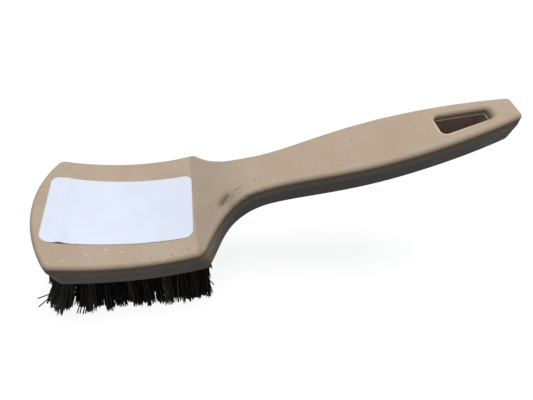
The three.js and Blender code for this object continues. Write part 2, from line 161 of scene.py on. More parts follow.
@dataclass(frozen=True)
class SideProfile:
    """Side view of the block, whose dish and underside are arcs about one axis."""

    trim: float = 25.4
    dish_radius: float = 117.0
    head_thickness: float = 14.3
    head_front: float = 43.6
    head_back: float = 33.6
    crease_x: float = 31.5
    ramp_angle: float = 42.6
    ramp_run: float = 16.8
    handle_angle: float = 17.8
    knee_blend: float = 10.5
    ramp_blend: float = 14.0
    neck_x: float = 69.6
    neck_thickness: float = 14.0
    end_x: float = 185.3
    end_thickness: float = 15.2
    head_lean: float = 13.0
    tail_lean: float = 2.0
    arc_steps: int = 60
    knee_steps: int = 20

    @property
    def under_radius(self) -> float:
        """Radius of the underside's arc."""
        return self.dish_radius + self.head_thickness

    @property
    def axis_height(self) -> float:
        """Height of the axis that dish and underside share."""
        return self.trim + self.under_radius

    @property
    def knee_x(self) -> float:
        """Place of the knee, where ramp and handle meet."""
        return self.head_back + self.ramp_run

    def arc(self, radius: float, to_x: float) -> list[Vector]:
        """Arc about the dish's axis, from past the nose.

        Args:
            radius: Radius of the arc.
            to_x: Where along the brush it ends.

        Returns:
            Points as (x, z).
        """
        first = math.asin(-(self.head_front + self.head_thickness) / radius)
        step = (math.asin(to_x / radius) - first) / self.arc_steps
        turns = [first + step * i for i in range(self.arc_steps + 1)]
        return [Vector((radius * math.sin(a), self.axis_height - radius * math.cos(a))) for a in turns]

    def knee(self, vertex: Vector, arriving: Vector, leaving: Vector, before: float) -> list[Vector]:
        """Curve that rounds the corner between ramp and handle.

        Args:
            vertex: Corner to round.
            arriving: Direction of the line before it.
            leaving: Direction of the line after it.
            before: How far before the corner the curve starts.

        Returns:
            Points as (x, z).
        """
        start = vertex - arriving * before
        end = vertex + leaving * self.knee_blend
        pulls = arriving * before * 2 / 3, leaving * self.knee_blend * 2 / 3
        return curve_points(start, pulls[0], end, pulls[1], self.knee_steps)

    @cached_property
    def back(self) -> Vector:
        """Point of the dish's arc that the ramp's angle and run are measured from."""
        return self.arc(self.dish_radius, self.head_back)[-1]

    @cached_property
    def top_line(self) -> list[Vector]:
        """Top of the block: dish, ramp and handle.

        Returns:
            Points as (x, z).
        """
        ramp, grip = heading(self.ramp_angle), heading(self.handle_angle)
        knee = self.back + ramp * (self.ramp_run / ramp.x)
        end = knee + grip * ((self.end_x - knee.x) / grip.x)
        dish = self.arc(self.dish_radius, self.crease_x)
        return [*dish, *self.knee(knee, (knee - dish[-1]).normalized(), grip, self.ramp_blend), end]

    @cached_property
    def under_line(self) -> list[Vector]:
        """Underside of the block, parallel to the ramp and closing on the handle's top.

        Returns:
            Points as (x, z).
        """
        ramp = heading(self.ramp_angle)
        neck = Vector((self.neck_x, self.top(self.neck_x) - self.neck_thickness))
        end = Vector((self.end_x, self.top(self.end_x) - self.end_thickness))
        run = (end - neck).normalized()
        under_ramp = self.back + Vector((ramp.y, -ramp.x)) * self.head_thickness
        offset = under_ramp - Vector((0, self.axis_height))
        half = offset.dot(ramp)
        reach = -half - math.sqrt(half**2 - offset.length_squared + self.under_radius**2)
        heel = under_ramp + ramp * reach
        knee = under_ramp + ramp * ((neck - under_ramp).cross(run) / ramp.cross(run))
        return [*self.arc(self.under_radius, heel.x), *self.knee(knee, ramp, run, self.knee_blend), end]

    def top(self, x: float) -> float:
        """Height of the top face."""
        return height_on(self.top_line, x)

    def under(self, x: float) -> float:
        """Height of the underside."""
        return height_on(self.under_line, x)

    def lean(self, x: float) -> float:
        """Lean of the walls along the brush, most at the head and a little at the handle's end.

        Args:
            x: Place along the brush.

        Returns:
            Step along the brush for each step down.
        """
        head = min(max((self.knee_x - x) / (self.knee_x - self.head_back), 0), 1)
        tail = min(max((x - self.knee_x) / (self.end_x - self.knee_x), 0), 1)
        return math.tan(math.radians(head * self.head_lean + tail * self.tail_lean))


@dataclass(frozen=True)
class Grain:
    """Noise in a finish: features per metre, octaves, the range that counts, and what its ends give."""

    scale: float
    detail: float = 3.0
    low: float = 0.3
    high: float = 0.7
    start: float = 0.0
    end: float = 1.0


@dataclass(frozen=True)
class Specks:
    """Specks: cells per metre, largest radius in cells, share of cells that hold one, and solid core."""

    pitch: float
    size: float
    kept: float
    core: float = 0.7


@dataclass(frozen=True)
class Patch:
    """A soft patch: its middle in the CAD frame, half sizes in millimetres, and strength."""

    centre: Triple
    radii: Triple
    strength: float


class Graph:
    """Shader nodes of one material or world, added and wired in short calls."""

    def __init__(self, owner: Material | World) -> None:
        """Empties the owner's node tree.

        Args:
            owner: The material or world.
        """
        owner.use_nodes = True
        self.owner = owner
        self.tree = owner.node_tree
        self.tree.nodes.clear()

    def wired(
        self, kind: str, inputs: dict[int | str, object], output: int | str = 0, **settings: object
    ) -> NodeSocket:
        """Adds a node, sets its options and feeds its inputs.

        Args:
            kind: Type of the node, without its prefix.
            inputs: What to feed it, by the name or number of the socket: an output, a number or a colour.
            output: Name or number of the output that is handed on.
            **settings: Options of the node itself.

        Returns:
            That output.
        """
        node = self.tree.nodes.new(f"ShaderNode{kind}")
        for name, value in settings.items():
            setattr(node, name, value)
        for key, value in inputs.items():
            socket = node.inputs[key]
            if isinstance(value, NodeSocket):
                self.tree.links.new(value, socket)
            else:
                socket.default_value = (*value, 1.0) if socket.type == "RGBA" else value
        return node.outputs[output]

    @cached_property
    def place(self) -> NodeSocket:
        """Object coordinates."""
        return self.wired("TexCoord", {}, "Object")

    def mark(self, mark: Mark) -> NodeSocket:
        """One of the numbers that the mesh carries."""
        return self.wired("Attribute", {}, "Fac", attribute_name=mark.value)

    def stretched(self, scale: Triple, turn: Triple = (0.0, 0.0, 0.0)) -> NodeSocket:
        """Object coordinates, scaled by a factor along each axis and turned about each, in radians."""
        return self.wired("Mapping", {"Vector": self.place, "Scale": scale, "Rotation": turn})

    def math(self, operation: str, first: object, second: object) -> NodeSocket:
        """One sum on two values."""
        return self.wired("Math", {0: first, 1: second}, operation=operation)

    def times(self, first: object, second: object) -> NodeSocket:
        """Product of two values."""
        return self.math("MULTIPLY", first, second)

    def mix(self, share: object, first: object, second: object) -> NodeSocket:
        """Mixes two colours, by the share of the second."""
        return self.wired("Mix", {0: share, 6: first, 7: second}, 2, data_type="RGBA")

    def ramp(self, value: object, *ends: float) -> NodeSocket:
        """Maps a value smoothly from one range to another, given as the ends of both, and clamps it."""
        inputs = dict(enumerate((value, *ends)))
        return self.wired("MapRange", inputs, interpolation_type="SMOOTHSTEP")

    def noise(self, scale: float, detail: float, vector: NodeSocket | None = None) -> NodeSocket:
        """Noise of some features per metre and octaves, about 0.5 on average."""
        inputs = {"Vector": vector or self.place, "Scale": scale, "Detail": detail}
        return self.wired("TexNoise", inputs)

    def grain(self, grain: Grain) -> NodeSocket:
        """Noise of a finish, brought to the range that it gives."""
        found = self.noise(grain.scale, grain.detail)
        return self.ramp(found, grain.low, grain.high, grain.start, grain.end)

    def specks(self, specks: Specks, vector: NodeSocket | None = None) -> NodeSocket:
        """Specks scattered over the object.

        Args:
            specks: Their spacing, size and number.
            vector: Coordinates other than the object's own.

        Returns:
            1 inside a speck and 0 outside.
        """
        inputs = {"Vector": vector or self.place, "Scale": specks.pitch}
        cell = self.wired("TexVoronoi", inputs, "Color")
        chance = self.wired("SeparateColor", {0: cell})
        chosen = self.math("LESS_THAN", chance, specks.kept)
        reach = self.times(chance.node.outputs[1], specks.size)
        away = self.math("DIVIDE", cell.node.outputs["Distance"], reach)
        return self.times(chosen, self.ramp(away, specks.core, 1.0, 1.0, 0.0))

    def spot(self, patch: Patch) -> NodeSocket:
        """Soft patch about one place, before its strength.

        Args:
            patch: Where it lies and how large it is.

        Returns:
            1 in the middle, falling to 0 at the edge.
        """
        centre, radii = Vector(patch.centre) * MM, Vector(patch.radii) * MM
        inputs = {"Vector": self.place, "Location": centre, "Scale": radii}
        local = self.wired("Mapping", inputs, vector_type="TEXTURE")
        away = self.wired("VectorMath", {0: local}, "Value", operation="LENGTH")
        return self.ramp(away, 0.0, 1.0, 1.0, 0.0)

    def bump(self, height: object, depth: float, strength: float) -> NodeSocket:
        """Normals bent by a height from 0 to 1, whose depth is in millimetres."""
        return self.wired("Bump", {"Strength": strength, "Distance": depth * MM, "Height": height})

    def seen(self) -> NodeSocket:
        """Tells the rays that show a backdrop as it is: from the camera, a mirror or through glass.

        Returns:
            1 for such a ray and 0 for any other.
        """
        rays = self.tree.nodes.new("ShaderNodeLightPath").outputs
        total = self.math("MAXIMUM", rays["Is Camera Ray"], rays["Is Glossy Ray"])
        return self.math("MAXIMUM", total, rays["Is Transmission Ray"])

    def output(self, shader: NodeSocket, kind: str = "ShaderNodeOutputMaterial") -> None:
        """Wires a shader to the output."""
        self.tree.links.new(shader, self.tree.nodes.new(kind).inputs["Surface"])

    def surface(self, **sockets: object) -> Material:
        """Closes a material with one principled shader.

        Args:
            **sockets: Values by input name, with underscores for spaces.

        Returns:
            The finished material.
        """
        inputs = {name.replace("_", " "): value for name, value in sockets.items()}
        self.output(self.wired("BsdfPrincipled", inputs))
        return self.owner


PIT_RADII = (0.7, 0.7, 1.2)
PIT_STRENGTH = 0.70
PITS = (
    (-60.7, -29.5, 40.0),
    (-43.5, -27.6, 42.8),
    (-38.7, -25.6, 44.1),
    (-6.8, -9.8, 64.4),
    (-74.7, -31.3, 39.6),
    (16.7, -9.0, 72.0),
    (29.7, -9.7, 76.1),
    (-9.8, -4.9, 63.4),
    (-16.4, 10.6, 61.3),
    (-51.5, -29.1, 41.3),
    (79.4, 1.6, 92.1),
)
SMUDGES = (
    Patch((-26.2, -10.8, 54.6), (3.2, 2.8, 3.4), 0.90),
    Patch((-24.8, -9.3, 56.0), (3.4, 3.0, 3.6), 0.90),
    Patch((-23.0, -8.2, 57.4), (3.0, 2.8, 3.0), 0.50),
    Patch((-23.8, -9.8, 56.6), (8.0, 7.0, 8.0), 0.45),
    Patch((-19.4, -6.8, 60.2), (2.4, 1.5, 2.4), 0.60),
    Patch((-17.2, -6.1, 61.0), (1.4, 0.9, 1.6), 0.60),
    Patch((-18.3, -9.6, 60.8), (2.6, 1.8, 2.4), 0.30),
    Patch((-20.8, -16.0, 58.2), (3.4, 3.2, 3.6), 0.85),
    Patch((-17.2, -14.6, 60.0), (4.6, 3.2, 3.4), 0.95),
    Patch((-13.4, -13.3, 61.2), (4.8, 2.8, 3.0), 0.95),
    Patch((-9.4, -12.6, 62.5), (4.4, 2.4, 2.8), 0.90),
    Patch((-6.0, -11.7, 63.9), (2.8, 1.8, 2.4), 0.60),
    Patch((-18.4, -13.8, 60.3), (3.6, 1.4, 2.2), 0.70),
    Patch((-14.4, -12.3, 61.6), (4.0, 1.3, 2.2), 0.70),
    Patch((-10.2, -11.6, 63.0), (3.8, 1.2, 2.0), 0.60),
    *(Patch(place, PIT_RADII, PIT_STRENGTH) for place in PITS),
)


@dataclass(frozen=True)
class MouldedPlastic:
    """Satin beige plastic with pale flecks, pinholes, a few smudges from handling, and painted edge shade
    and highlights.
    """

    base: Colour = (0.530, 0.425, 0.325)
    warm: Colour = (0.500, 0.388, 0.286)
    fleck: Colour = (0.740, 0.655, 0.560)
    pinhole: Colour = (0.090, 0.070, 0.055)
    smudge: Colour = (0.112, 0.104, 0.064)
    grime: Colour = (0.260, 0.230, 0.215)
    # Painted shade: warm brown laid on rounded edges as they turn away from the light.
    edge: Colour = (0.480, 0.325, 0.205)
    mottle: Grain = Grain(45.0, 5.0, 0.35, 0.7)
    pale_grain: Grain = Grain(900.0, 2.0, 0.45, 0.75, 0.0, 0.14)
    dark_grain: Grain = Grain(1100.0, 3.0, 0.30, 0.46, 0.26, 0.0)
    rubbed: Grain = Grain(520.0, 4.0, 0.32, 0.66, 0.5, 1.0)
    rough: Grain = Grain(120.0, 3.0, 0.3, 0.7, 0.44, 0.58)
    flecks: Specks = Specks(360.0, 0.32, 0.60)
    fleck_stretch: Triple = (0.6, 1.2, 1.0)
    fleck_turn: Triple = (0.0, 0.0, 0.45)
    scuffed: Patch = Patch((-78.0, -28.0, 40.0), (62.0, 30.0, 30.0), 0.5)
    pinholes: Specks = Specks(240.0, 0.12, 0.16)
    pinhole_share: float = 0.6
    pinhole_depth: float = 3.0
    parting_highlight_share: float = 0.85
    edge_shade_share: float = 0.7
    tooth: float = 1400.0
    smudges: tuple[Patch, ...] = SMUDGES

    def material(self) -> Material:
        """Builds the plastic's shader.

        Returns:
            The material.
        """
        graph = Graph(bpy.data.materials.new("moulded_plastic"))
        flecks = graph.specks(self.flecks, graph.stretched(self.fleck_stretch, self.fleck_turn))
        scuffed = graph.times(graph.spot(self.scuffed), self.scuffed.strength)
        pinholes = graph.specks(self.pinholes)
        rubbed = graph.grain(self.rubbed)
        layers = [
            (graph.grain(self.mottle), self.warm),
            (graph.grain(self.pale_grain), self.fleck),
            (graph.grain(self.dark_grain), self.grime),
            (graph.times(flecks, scuffed), self.fleck),
            (graph.times(pinholes, self.pinhole_share), self.pinhole),
            # painted highlight on the parting ridge and the slot's near rim
            (graph.times(graph.mark(Mark.PARTING), self.parting_highlight_share), self.fleck),
            # painted shade on rounded edges and in the slot
            (graph.times(graph.mark(Mark.EDGE_SHADE), self.edge_shade_share), self.edge),
        ]
        for patch in self.smudges:
            rubbing = graph.times(graph.spot(patch), rubbed)
            layers.append((graph.times(rubbing, patch.strength), self.smudge))
        colour = self.base
        for share, over in layers:
            colour = graph.mix(share, colour, over)
        sunk = graph.times(pinholes, self.pinhole_depth)
        relief = graph.math("SUBTRACT", graph.noise(self.tooth, detail=2.0), sunk)
        return graph.surface(
            Base_Color=colour,
            Roughness=graph.grain(self.rough),
            Specular_IOR_Level=0.04,
            Normal=graph.bump(relief, depth=0.05, strength=0.5),
        )


@dataclass(frozen=True)
class LabelStock:
    """Smooth white label paper, bare, with a faint tooth and handling marks."""

    base: Colour = (0.770, 0.828, 0.972)
    toned: Colour = (0.735, 0.780, 0.892)
    tone: Grain = Grain(60.0, 4.0, 0.4, 0.75, 0.0, 0.6)
    rough: Grain = Grain(200.0, 3.0, 0.3, 0.7, 0.37, 0.50)
    tooth: float = 2600.0

    def material(self) -> Material:
        """Builds the paper's shader.

        Returns:
            The material.
        """
        graph = Graph(bpy.data.materials.new("label_stock"))
        return graph.surface(
            Base_Color=graph.mix(graph.grain(self.tone), self.base, self.toned),
            Roughness=graph.grain(self.rough),
            Specular_IOR_Level=0.4,
            Normal=graph.bump(graph.noise(self.tooth, detail=2.0), depth=0.02, strength=0.4),
        )


@dataclass(frozen=True)
class PlantFibre:
    """Stiff dark plant fibre: each strand has its own brown, streaked along its length, with painted shade
    at its tuft's sides and painted light in the end column.
    """

    # Near black: the darkest strands, and the painted shade between tufts.
    dark: Colour = (0.005, 0.005, 0.005)
    brown: Colour = (0.300, 0.245, 0.158)
    roughness: float = 0.65
    streaks: float = 900.0
    streak_stretch: Triple = (1.0, 1.0, 0.12)

    def material(self) -> Material:
        """Builds the fibre's shader.

        Returns:
            The material.
        """
        graph = Graph(bpy.data.materials.new("plant_fibre"))
        streak = graph.noise(self.streaks, 2.0, graph.stretched(self.streak_stretch))
        share = graph.times(graph.mark(Mark.SHADE), graph.ramp(streak, 0.25, 0.75, 0.5, 1.2))
        return graph.surface(
            Base_Color=graph.mix(share, self.dark, self.brown),
            Roughness=self.roughness,
            Specular_IOR_Level=0.02,
            Normal=graph.bump(streak, depth=0.05, strength=0.4),
        )


@dataclass(frozen=True)
class AnchorSteel:
    """Flat galvanised wire, drawn along its length."""

    base: Colour = (0.46, 0.46, 0.45)
    worn: Colour = (0.34, 0.34, 0.35)
    drawing: float = 700.0
    draw_stretch: Triple = (1.0, 0.08, 1.0)

    def material(self) -> Material:
        """Builds the wire's shader.

        Returns:
            The material.
        """
        graph = Graph(bpy.data.materials.new("anchor_steel"))
        drawn = graph.noise(self.drawing, 3.0, graph.stretched(self.draw_stretch))
        return graph.surface(
            Base_Color=graph.mix(drawn, self.base, self.worn),
            Metallic=1.0,
            Roughness=graph.ramp(drawn, 0.3, 0.7, 0.28, 0.46),
        )


def object_from(bm: BMesh, name: str, material: Material) -> Object:
    """Puts a mesh into the scene.

    Args:
        bm: The mesh, which is freed.
        name: Name of the object.
        material: Its finish.

    Returns:
        The object.
    """
    mesh = bpy.data.meshes.new(name)
    bm.to_mesh(mesh)
    bm.free()
    mesh.materials.append(material)
    made = bpy.data.objects.new(name, mesh)
    bpy.context.scene.collection.objects.link(made)
    return made


def piece_from(bm: BMesh, name: str, material: Material, slot: Slot, *nodes: str) -> Object:
    """Turns a mesh in millimetres into a piece of the brush that stands for CAD nodes.

    Args:
        bm: The mesh, which is freed.
        name: Name of the piece.
        material: Its finish.
        slot: The record's slot of that finish; not used.
        *nodes: CAD nodes that it replaces.

    Returns:
        The piece, riding on the brush's one body.
    """
    bm.transform(Matrix.Scale(MM, 4) @ Matrix.Translation((DISH_X, 0, 0)))
    piece = object_from(bm, name, material)
    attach(piece, BODY)
    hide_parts(*nodes)
    LOG.info("%s: %d faces", name, len(piece.data.polygons))
    return piece


def shade_smooth(bm: BMesh, limit: float) -> None:
    """Shades faces smooth and keeps the edges sharper than a limit crisp.

    Args:
        bm: The mesh.
        limit: Angle in degrees.
    """
    for face in bm.faces:
        face.smooth = True
    for edge in bm.edges:
        edge.smooth = edge.calc_face_angle(0.0) < math.radians(limit)


def slice_across(bm: BMesh, point: Vector, normal: Vector) -> None:
    """Cuts a whole mesh along the plane through a point, and keeps both sides."""
    geom = bm.verts[:] + bm.edges[:] + bm.faces[:]
    bmesh.ops.bisect_plane(bm, geom=geom, dist=0.01, plane_co=point, plane_no=normal)


def raise_cap(bm: BMesh, cap: list[BMFace], height: float) -> list[BMFace]:
    """Extrudes faces straight up or down.

    Args:
        bm: The mesh.
        cap: The faces.
        height: How far they go.

    Returns:
        The faces at their new height.
    """
    edges = list(dict.fromkeys(edge for face in cap for edge in face.edges))
    made = bmesh.ops.extrude_face_region(bm, geom=cap + edges)["geom"]
    raised = [g for g in made if isinstance(g, BMVert)]
    bmesh.ops.translate(bm, verts=raised, vec=(0, 0, height))
    return [g for g in made if isinstance(g, BMFace)]


@dataclass(frozen=True)
class EdgeRound:
    """Rounded edge between the walls and a cap: its radius, and the rings that shape it."""

    radius: float
    rings: int

    def insets(self) -> list[float]:
        """Plan step from each ring to the next, from the wall inwards."""
        turns = [math.pi / 2 * i / self.rings for i in range(self.rings + 1)]
        return [self.radius * (math.cos(a) - math.cos(b)) for a, b in pairwise(turns)]

    def drop(self, ring: int) -> float:
        """How far a ring lies from the flat of its cap."""
        return self.radius * (1 - math.sin(math.pi / 2 * ring / self.rings))


@dataclass(frozen=True)
class Sweep:
    """A curve of the plan outline: its pull as it leaves and as it arrives, and its number of points."""

    leaving: float
    arriving: float
    points: int

    def between(self, start: Vector, away: Vector, end: Vector, towards: Vector) -> list[Vector]:
        """Points from one place and heading to another."""
        return curve_points(start, away * self.leaving, end, towards * self.arriving, self.points)


def layer(bm: BMesh, mark: Mark) -> BMLayerItem:
    """Where a mesh keeps one of the numbers at its vertices."""
    return bm.verts.layers.float[mark.value]


@dataclass
class HandleBlock:
    """The moulded block: a plan outline, cut into strips, raised to its walls, then rounded."""

    finish: MouldedPlastic
    side: SideProfile = field(default_factory=SideProfile)
    head_width: float = 64.6
    nose_radius: float = 63.0
    nose_corner: float = 3.8
    nose_steps: int = 12
    shoulder_set: float = 0.8
    shoulder_angle: float = 56.7
    shoulder_corner: float = 5.0
    shoulder_run: float = 4.8
    neck_width: float = 22.7
    neck_sweep: Sweep = Sweep(14.8, 17.7, 22)
    grip_x: float = 120.6
    grip_width: float = 29.5
    grip_sweep: Sweep = Sweep(13.4, 21.7, 12)
    tail_width: float = 13.3
    tail_angle: float = 14.5
    tail_sweep: Sweep = Sweep(21.5, 19.6, 14)
    tail_corner: float = 2.7
    corner_steps: int = 6
    bend_from: float = 130.0
    bend_set: float = 0.6
    slot_left: float = 148.8
    slot_length: float = 24.2
    slot_wide: float = 12.4
    slot_narrow: float = 6.2
    slot_corner: float = 2.2
    slot_steps: int = 5
    slot_rim: float = 2.1
    slot_ledge: float = 0.32
    ledge_depth: float = 0.24
    ledge_drop: float = 0.12
    slot_room: float = 4.0
    rim_steps: int = 6
    # Rings of the slot's near rim that take the painted highlight.
    rim_highlight_rings: tuple[int, ...] = (1, 2, 3)
    top_edge: EdgeRound = EdgeRound(2.4, 9)
    foot_edge: EdgeRound = EdgeRound(0.5, 2)
    ring_step: float = 0.01
    # Painted shade on rounded edges: how fast it grows with the drop, and how much the slot's walls take.
    edge_shade_power: float = 0.6
    slot_wall_shade: float = 0.1
    draft: float = 0.42
    parting_ridge: float = 0.06
    station_pitch: float = 3.0
    station_gap: float = 0.6
    weld: float = 0.02
    crisp_angle: float = 40.0

    @property
    def slot_right(self) -> float:
        """End of the hanging slot."""
        return self.slot_left + self.slot_length

    def corner_points(self) -> list[tuple[Vector, float]]:
        """Far half of the plan outline.

        Returns:
            Points from the nose's tip to the end face, each with the radius that rounds it.
        """
        half, radius = self.head_width / 2, self.nose_radius
        middle = radius - self.side.head_front
        sweep = math.asin(half / radius)
        turns = [sweep * i / self.nose_steps for i in range(self.nose_steps + 1)]
        nose = [Vector((middle - radius * math.cos(a), radius * math.sin(a))) for a in turns]
        level, slant, tail = (heading(-angle) for angle in (0, self.shoulder_angle, self.tail_angle))
        shoulder = Vector((self.side.head_back + self.shoulder_set, half))
        neck = Vector((self.side.neck_x, self.neck_width / 2))
        grip = Vector((self.grip_x, self.grip_width / 2))
        tip = Vector((self.side.end_x, self.tail_width / 2))
        curves = [
            *self.neck_sweep.between(shoulder + slant * self.shoulder_run, slant, neck, level),
            *self.grip_sweep.between(neck, level, grip, level)[1:],
            *self.tail_sweep.between(grip, level, tip, tail)[1:-1],
        ]
        return [
            *((point, 0.0) for point in nose[:-1]),
            (nose[-1], self.nose_corner),
            (shoulder, self.shoulder_corner),
            *((point, 0.0) for point in curves),
            (tip, self.tail_corner),
        ]

    def plan(self) -> BMesh:
        """Plan outline as one face with its corners rounded.

        Returns:
            The mesh, in millimetres.
        """
        far = self.corner_points()
        near = [(Vector((p.x, -p.y)), radius) for p, radius in reversed(far[1:])]
        bm = bmesh.new()
        for mark in (Mark.PARTING, Mark.EDGE_SHADE):
            bm.verts.layers.float.new(mark.value)
        outline = rounded_outline(far + near, self.corner_steps)
        bm.faces.new([bm.verts.new((*point, 0)) for point in outline])
        return bm

    def cut_stations(self, bm: BMesh) -> None:
        """Cuts the plan across at each point of its outline, and evenly along the head.

        Args:
            bm: The plan.
        """
        outline = [v.co.x for v in bm.verts]
        around = self.slot_left - self.slot_room, self.slot_right + self.slot_room
        reach = self.side.head_back - self.nose_corner
        even = [-reach + self.station_pitch * i for i in range(int(2 * reach / self.station_pitch))]
        stations = [x for x in even if min(abs(x - other) for other in outline) > self.station_gap]
        stations += [*around, *(x for x in outline if not around[0] < x < around[1])]
        for x in stations:
            slice_across(bm, Vector((x, 0, 0)), Vector((1, 0, 0)))

    def slot_outline(self, grow: float) -> list[Vector]:
        """Plan outline of the hanging slot, tapered and round-cornered.

        Args:
            grow: How far outside the slot's wall it lies.

        Returns:
            The points in order, of the same number for any growth.
        """
        taper = (self.slot_wide - self.slot_narrow) / 2 / self.slot_length
        wider = grow * math.hypot(1, taper)
        left, right = self.slot_left - grow, self.slot_right + grow
        wide = self.slot_wide / 2 + wider + grow * taper
        narrow = self.slot_narrow / 2 + wider - grow * taper
        corners = [(left, -wide), (right, -narrow), (right, narrow), (left, wide)]
        rounded = [(Vector(corner), self.slot_corner + grow) for corner in corners]
        return rounded_outline(rounded, self.slot_steps)

    def open_slot(self, bm: BMesh, level: Level, grow: float) -> list[BMVert]:
        """Opens one cap of the prism for the hanging slot.

        Args:
            bm: The prism.
            level: Top or foot.
            grow: How far outside the slot's wall the opening lies.

        Returns:
            The opening's vertices in order.
        """
        number = LEVELS.index(level)
        middle = Vector(((self.slot_left + self.slot_right) / 2, 0))
        flat = [f for f in bm.faces if all(round(v.co.z) == number for v in f.verts)]
        face = min(flat, key=lambda f: (f.calc_center_bounds().to_2d() - middle).length)
        border, height = face.edges[:], face.verts[0].co.z
        bmesh.ops.delete(bm, geom=[face], context="FACES_ONLY")
        ring = [bm.verts.new((*point, height)) for point in self.slot_outline(grow)]
        loop = [bm.edges.new((ring[i - 1], vert)) for i, vert in enumerate(ring)]
        bmesh.ops.triangle_fill(bm, edges=border + loop, use_beauty=True, normal=(0, 0, 1))
        return ring

    def next_ring(self, bm: BMesh, ring: list[BMVert]) -> list[BMVert]:
        """Extrudes a closed ring of vertices.

        Args:
            bm: The mesh.
            ring: The vertices in order.

        Returns:
            The new ring, in the same order and place.
        """
        edges = [bm.edges.get((ring[i - 1], vert)) for i, vert in enumerate(ring)]
        made = set(bmesh.ops.extrude_edge_only(bm, edges=edges)["geom"])
        return [next(e.other_vert(v) for e in v.link_edges if e.other_vert(v) in made) for v in ring]

    def line_slot(self, bm: BMesh, upper: list[BMVert], lower: list[BMVert]) -> None:
        """Lines the hanging slot: a rolled rim, an upper wall, a fine ledge and a lower wall.

        Args:
            bm: The block.
            upper: Opening in the top.
            lower: Opening in the underside.
        """
        rim = self.slot_rim
        turns = [math.pi / 2 * i / self.rim_steps for i in range(1, self.rim_steps + 1)]
        steps = [
            *((rim * (1 - math.sin(a)), rim * (1 - math.cos(a)), 0.0) for a in turns),
            (0.0, 0.0, self.ledge_depth),
            (-self.slot_ledge, self.ledge_drop, self.ledge_depth),
            (0.0, 0.0, 1.0),
        ]
        parting, toned = layer(bm, Mark.PARTING), layer(bm, Mark.EDGE_SHADE)
        ring = upper
        for number, (grow, depth, share) in enumerate(steps, 1):
            ring = self.next_ring(bm, ring)
            for vert, point in zip(ring, self.slot_outline(grow)):
                height = self.side.top(point.x)
                thick = height - self.side.under(point.x)
                vert.co = (*point, height - depth - share * thick)
                # Painted shade: the rim browns as it rolls over, and the walls below it a little.
                vert[toned] = self.tone(depth / rim) if number < self.rim_steps else self.slot_wall_shade
                # Painted highlight: the near side of the rim is painted pale along its first rings.
                worn = point.y < 0 and point.x < self.slot_right - 2 * rim
                vert[parting] = float(worn and number in self.rim_highlight_rings)
        bmesh.ops.remove_doubles(bm, verts=ring + lower, dist=self.weld)

    def round_cap(self, bm: BMesh, cap: list[BMFace], edge: EdgeRound) -> None:
        """Insets one end of the prism by the rings of its rounded edge, each a small step further out.

        Args:
            bm: The prism.
            cap: The faces of that end.
            edge: Shape of the edge.
        """
        outwards = Vector((0, 0, math.copysign(self.ring_step, cap[0].normal.z)))
        for thickness in edge.insets():
            bmesh.ops.inset_region(
                bm, faces=cap, thickness=thickness, use_boundary=True, use_even_offset=True
            )
            bmesh.ops.translate(bm, verts=list({v for face in cap for v in face.verts}), vec=outwards)

    def flat_x(self, vert: BMVert) -> float:
        """Finds where the column of wall and rounding above a vertex reaches the flat top.

        Args:
            vert: A vertex of the prism.

        Returns:
            Its place along the brush.
        """
        above = [vert]
        while above:
            vert = above[0]
            near = [edge.other_vert(vert) for edge in vert.link_edges]
            above = [other for other in near if other.co.z > vert.co.z + self.ring_step / 2]
        return vert.co.x

    def placed(self, point: Vector, flat_x: float) -> Vector:
        """Moves a point of the prism to its place on the block.

        Args:
            point: Plan point, with its level number as height and the ring of a rounded edge as fraction.
            flat_x: Where the column above it reaches the flat top.

        Returns:
            The point on the block.
        """
        number = round(point.z)
        level, ring = LEVELS[number], abs(round((point.z - number) / self.ring_step))
        top = self.side.top(flat_x)
        if level is Level.TOP:
            return Vector((point.x, point.y, top - self.top_edge.drop(ring)))
        height = top - level.value * (top - self.side.under(point.x))
        x = point.x + self.side.lean(point.x) * (top - self.top_edge.radius - height)
        if level is Level.FOOT:
            height = self.side.under(x) + self.foot_edge.drop(ring)
        return Vector((x, point.y, height))

    def tone(self, drop: float) -> float:
        """How much painted shade browns a rounded edge, from its drop below the face as a share of its
        radius.
        """
        return min(1.0, max(0.0, drop)) ** self.edge_shade_power

    def swell(self, bm: BMesh) -> None:
        """Stands the walls out about the parting line, by their draft and a fine ridge.

        Args:
            bm: The placed prism, with its parting line marked.
        """
        parting = layer(bm, Mark.PARTING)
        bm.normal_update()
        for vert in bm.verts:
            if vert[parting]:
                on_line = vert[parting] == ON_PARTING
                vert.co += vert.normal * (self.draft + self.parting_ridge * on_line)
                # Only the parting line itself keeps the painted highlight.
                vert[parting] = float(on_line)

    def bend(self, bm: BMesh) -> None:
        """Sets the end of the handle a little to the near side, as the moulding came out.

        Args:
            bm: The block.
        """
        for vert in bm.verts:
            share = max(0.0, (vert.co.x - self.bend_from) / (self.side.end_x - self.bend_from))
            vert.co.y -= self.bend_set * share**2

    def build(self) -> Object:
        """Models the block and dresses it.

        Returns:
            The piece.
        """
        bm = self.plan()
        self.cut_stations(bm)
        foot = cap = bm.faces[:]
        for _ in LEVELS[1:]:
            cap = raise_cap(bm, cap, 1)
        bmesh.ops.recalc_face_normals(bm, faces=bm.faces[:])
        self.round_cap(bm, cap, self.top_edge)
        self.round_cap(bm, foot, self.foot_edge)
        upper = self.open_slot(bm, Level.TOP, self.slot_rim)
        lower = self.open_slot(bm, Level.FOOT, 0.0)
        parting, toned = layer(bm, Mark.PARTING), layer(bm, Mark.EDGE_SHADE)
        for vert, flat_x in [(vert, self.flat_x(vert)) for vert in bm.verts]:
            level = LEVELS[round(vert.co.z)]
            if level not in (Level.TOP, Level.FOOT):
                vert[parting] = ON_PARTING if level is Level.PARTING else BESIDE_PARTING
            vert.co = self.placed(vert.co, flat_x)
